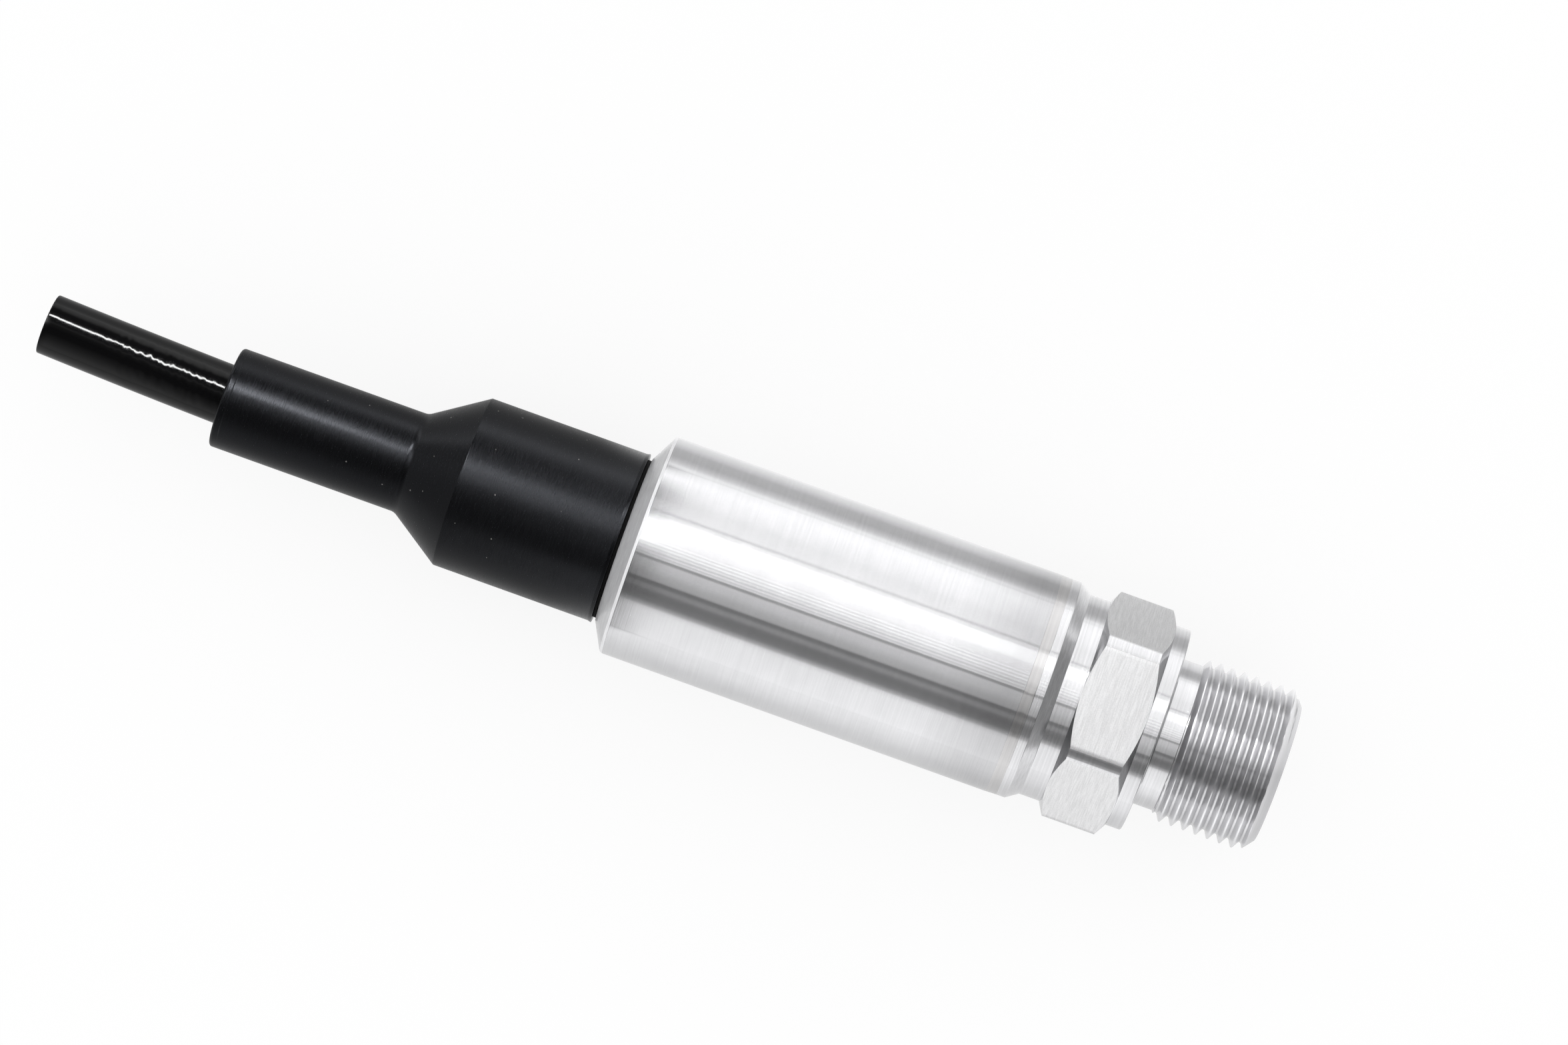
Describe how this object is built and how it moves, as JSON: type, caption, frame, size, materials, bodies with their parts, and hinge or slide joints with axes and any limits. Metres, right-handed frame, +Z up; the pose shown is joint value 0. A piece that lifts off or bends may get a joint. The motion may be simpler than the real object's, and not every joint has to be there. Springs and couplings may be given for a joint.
{
  "type": "level transmitter with cable outlet",
  "caption": "Slim stainless level transmitter: threaded pressure port, hexagon fitting, round welded housing, black strain relief boot and a cut cable.",
  "frame": {"origin": "on the floor, under the middle of the transmitter's fitting, housing and gland, which leaves out the boot and the cable", "axes": "+X along the axis towards the process thread, +Y to one side, +Z up; the transmitter lies on the side of its housing"},
  "size_m": [0.1543, 0.028, 0.027],
  "materials": {
    "stainless_fitting": "fine turned",
    "stainless_housing": "fine turned",
    "weld_steel": "ground weld",
    "sensor_steel": "ground",
    "gold_plate": "gold plated",
    "header_glass": "fused glass",
    "ceramic": "unglazed ceramic",
    "silicon": "polished silicon",
    "seal_rubber": "moulded",
    "board_laminate": "solder mask",
    "holder_plastic": "moulded",
    "chip_plastic": "moulded",
    "chip_ceramic": "fired",
    "protector_ceramic": "fired",
    "lead_insulation": "extruded",
    "nickel_brass": "nickel plated",
    "boot_rubber": "satin moulded",
    "jacket_black": "glossy extruded",
    "tinned_braid": "tinned braid",
    "vent_plastic": "extruded",
    "core_red_plastic": "extruded",
    "core_black_plastic": "extruded",
    "core_yellow_plastic": "extruded",
    "core_blue_plastic": "extruded",
    "copper": "bare copper strand"
  },
  "bodies": {
    "root": {"process_fitting": "stainless_fitting", "weld_seam": "weld_steel", "housing_tube": "stainless_housing", "sensor_body": "sensor_steel", "isolating_diaphragm": "sensor_steel", "diaphragm_ring": "sensor_steel", "ceramic_filler": "ceramic", "sensor_header": "sensor_steel", "header_glass_beads": "header_glass", "header_pins": "gold_plate", "oil_fill_ball": "sensor_steel", "silicon_die": "silicon", "sensor_o_ring": "seal_rubber", "sensor_retainer": "sensor_steel", "compensation_board": "board_laminate", "sensor_leads": "lead_insulation", "front_board_holder": "holder_plastic", "rear_board_holder": "holder_plastic", "circuit_board": "board_laminate", "signal_chip": "chip_plastic", "processor_chip": "chip_plastic", "chip_resistors": "chip_ceramic", "surge_protectors": "protector_ceramic", "smoothing_coil": "chip_plastic", "gland_nipple": "nickel_brass", "cable_grommet": "seal_rubber", "thrust_washer": "nickel_brass", "boot_gasket": "seal_rubber", "strain_relief_boot": "boot_rubber", "cable_jacket": "jacket_black", "cable_shield": "tinned_braid", "vent_tube": "vent_plastic", "core_red": "core_red_plastic", "core_black": "core_black_plastic", "core_yellow": "core_yellow_plastic", "core_blue": "core_blue_plastic", "core_conductors": "copper"}
  },
  "joints": []
}
